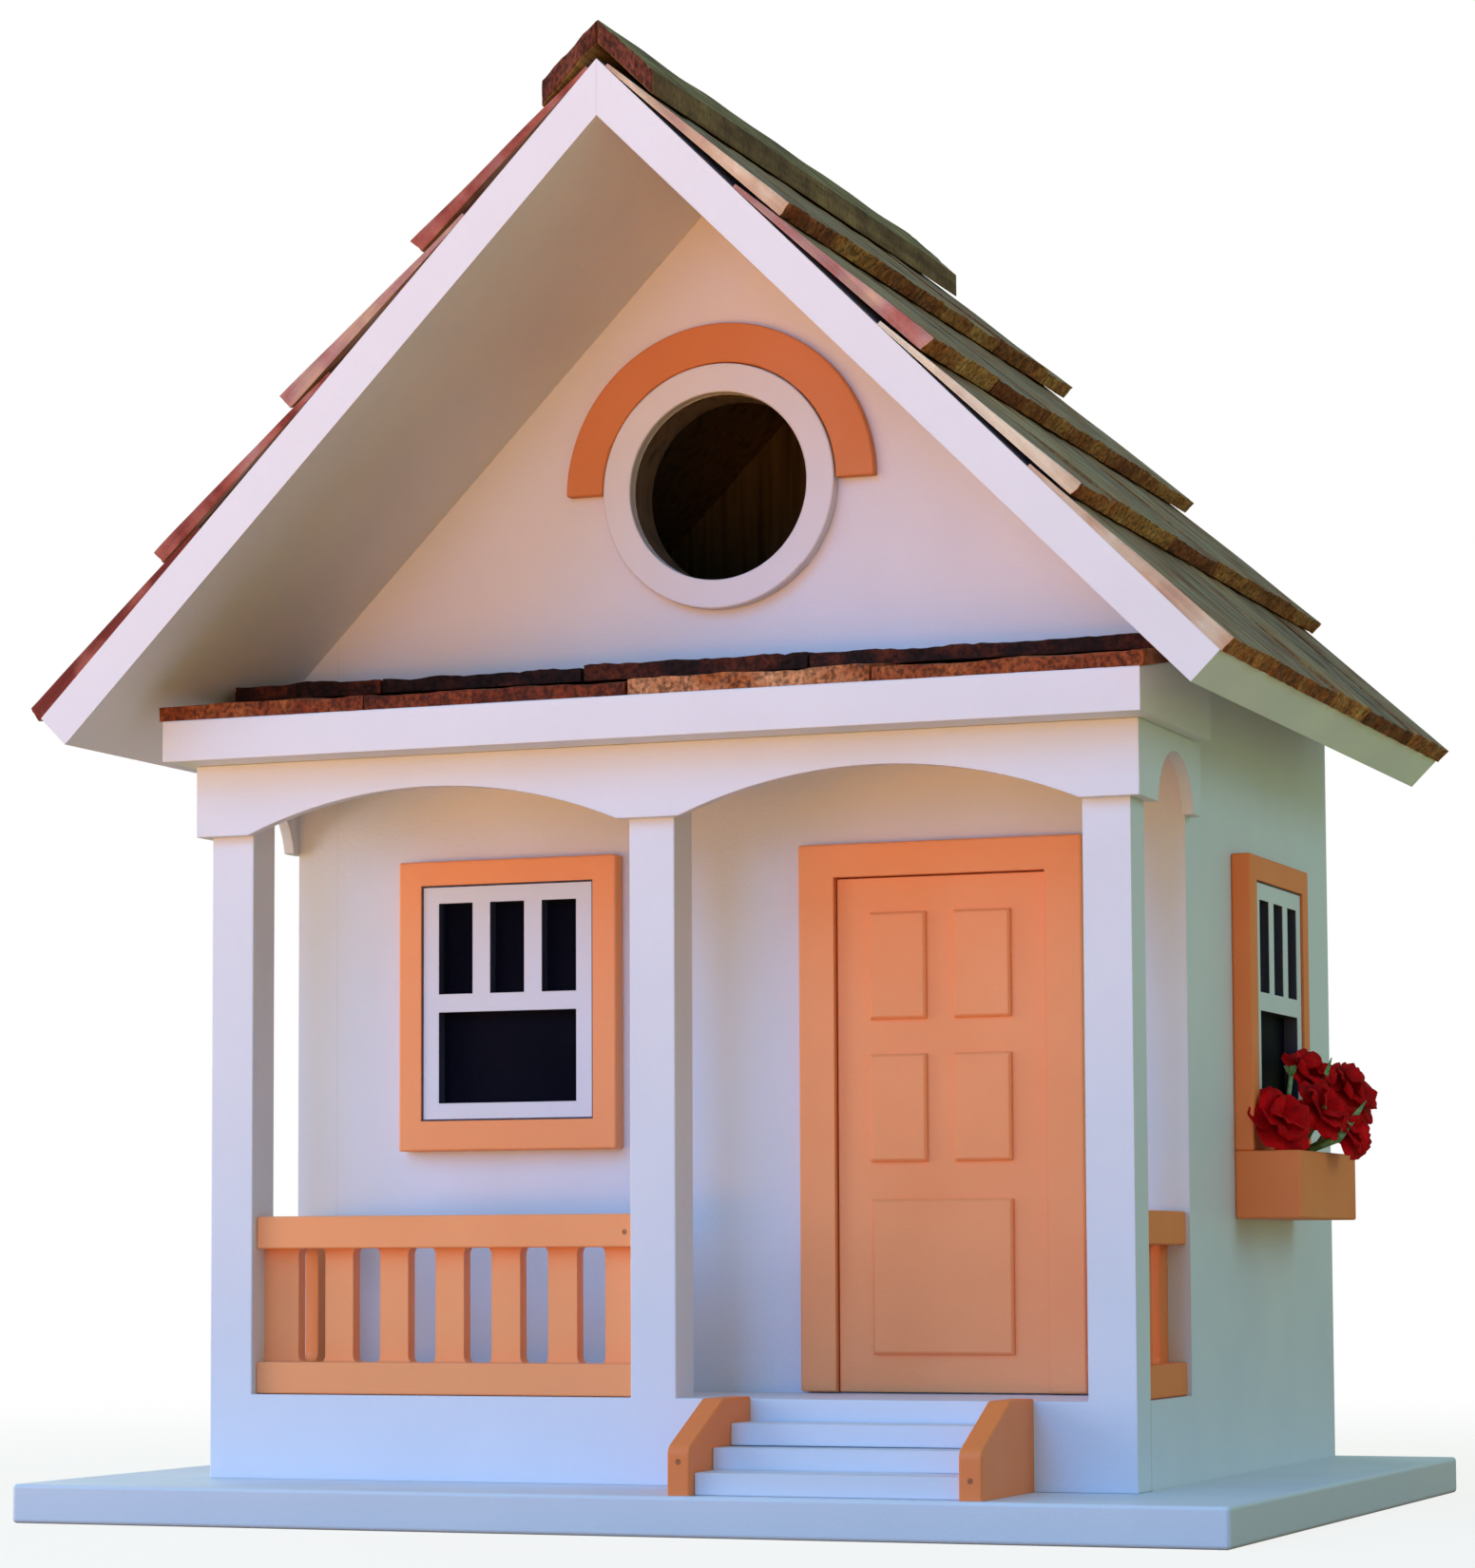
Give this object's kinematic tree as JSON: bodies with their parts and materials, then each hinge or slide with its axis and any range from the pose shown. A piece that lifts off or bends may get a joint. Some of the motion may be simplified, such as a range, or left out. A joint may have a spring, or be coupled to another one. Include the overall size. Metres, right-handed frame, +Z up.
{
  "type": "birdhouse",
  "caption": "Wooden cottage birdhouse with a round entry in the gable, a railed front porch with steps, shingled roofs, window boxes and a swing-aside clean-out cover.",
  "frame": {"origin": "centre of the base board's underside, where the house stands", "axes": "+X the house's right seen from the front, +Y from the front steps to the back, +Z up"},
  "size_m": [0.2456, 0.19, 0.2845],
  "materials": {
    "white_paint": "satin white exterior paint on softwood boards",
    "apricot_paint": "satin apricot-orange exterior paint on softwood trim",
    "dark_blue_paint": "satin blue-black paint in the window lights",
    "stained_cedar": "dark stained, rough split cedar",
    "red_petals": "dyed craft petals, matt",
    "green_stems": "green coated wire and leaf",
    "zinc_steel": "zinc-plated, dulled outdoors"
  },
  "bodies": {
    "house": {"back_wall": "white_paint", "base_board": "white_paint", "base_screws": "zinc_steel", "cleanout_screws": "zinc_steel", "door_casing": "apricot_paint", "door_panels": "apricot_paint", "door_slab": "apricot_paint", "entry_hood": "apricot_paint", "entry_ring": "white_paint", "front_arch_fascia": "white_paint", "front_baluster_board": "apricot_paint", "front_bottom_rail": "apricot_paint", "front_top_rail": "apricot_paint", "front_wall": "white_paint", "front_window_casing": "apricot_paint", "front_window_pane": "dark_blue_paint", "front_window_sash": "white_paint", "left_arch_fascia": "white_paint", "left_blossoms": "red_petals", "left_flower_stems": "green_stems", "left_ridge_cap": "stained_cedar", "left_roof_panel": "white_paint", "left_shingle_course_1": "stained_cedar", "left_shingle_course_2": "stained_cedar", "left_shingle_course_3": "stained_cedar", "left_shingle_course_4": "stained_cedar", "left_side_baluster_board": "apricot_paint", "left_side_rails": "apricot_paint", "left_side_wall": "white_paint", "left_stringer": "apricot_paint", "left_window_box": "apricot_paint", "left_window_casing": "apricot_paint", "left_window_pane": "dark_blue_paint", "left_window_sash": "white_paint", "porch_deck": "white_paint", "porch_front_panel": "white_paint", "porch_roof_board": "white_paint", "porch_shingles_front": "stained_cedar", "porch_shingles_rear": "stained_cedar", "right_arch_fascia": "white_paint", "right_blossoms": "red_petals", "right_flower_stems": "green_stems", "right_ridge_cap": "stained_cedar", "right_roof_panel": "white_paint", "right_shingle_course_1": "stained_cedar", "right_shingle_course_2": "stained_cedar", "right_shingle_course_3": "stained_cedar", "right_shingle_course_4": "stained_cedar", "right_side_baluster_board": "apricot_paint", "right_side_rails": "apricot_paint", "right_side_wall": "white_paint", "right_stringer": "apricot_paint", "right_window_box": "apricot_paint", "right_window_casing": "apricot_paint", "right_window_pane": "dark_blue_paint", "right_window_sash": "white_paint", "roof_nails": "zinc_steel", "stair_treads": "white_paint", "trim_brads": "zinc_steel"},
    "cover": {"cleanout_cover": "white_paint"}
  },
  "joints": [
    {"name": "cover_swing", "type": "hinge", "parent": "house", "child": "cover", "pos_m": [0, 0.0904, 0.078], "axis": [0, 1, 0], "range_deg": [0, 175]}
  ]
}
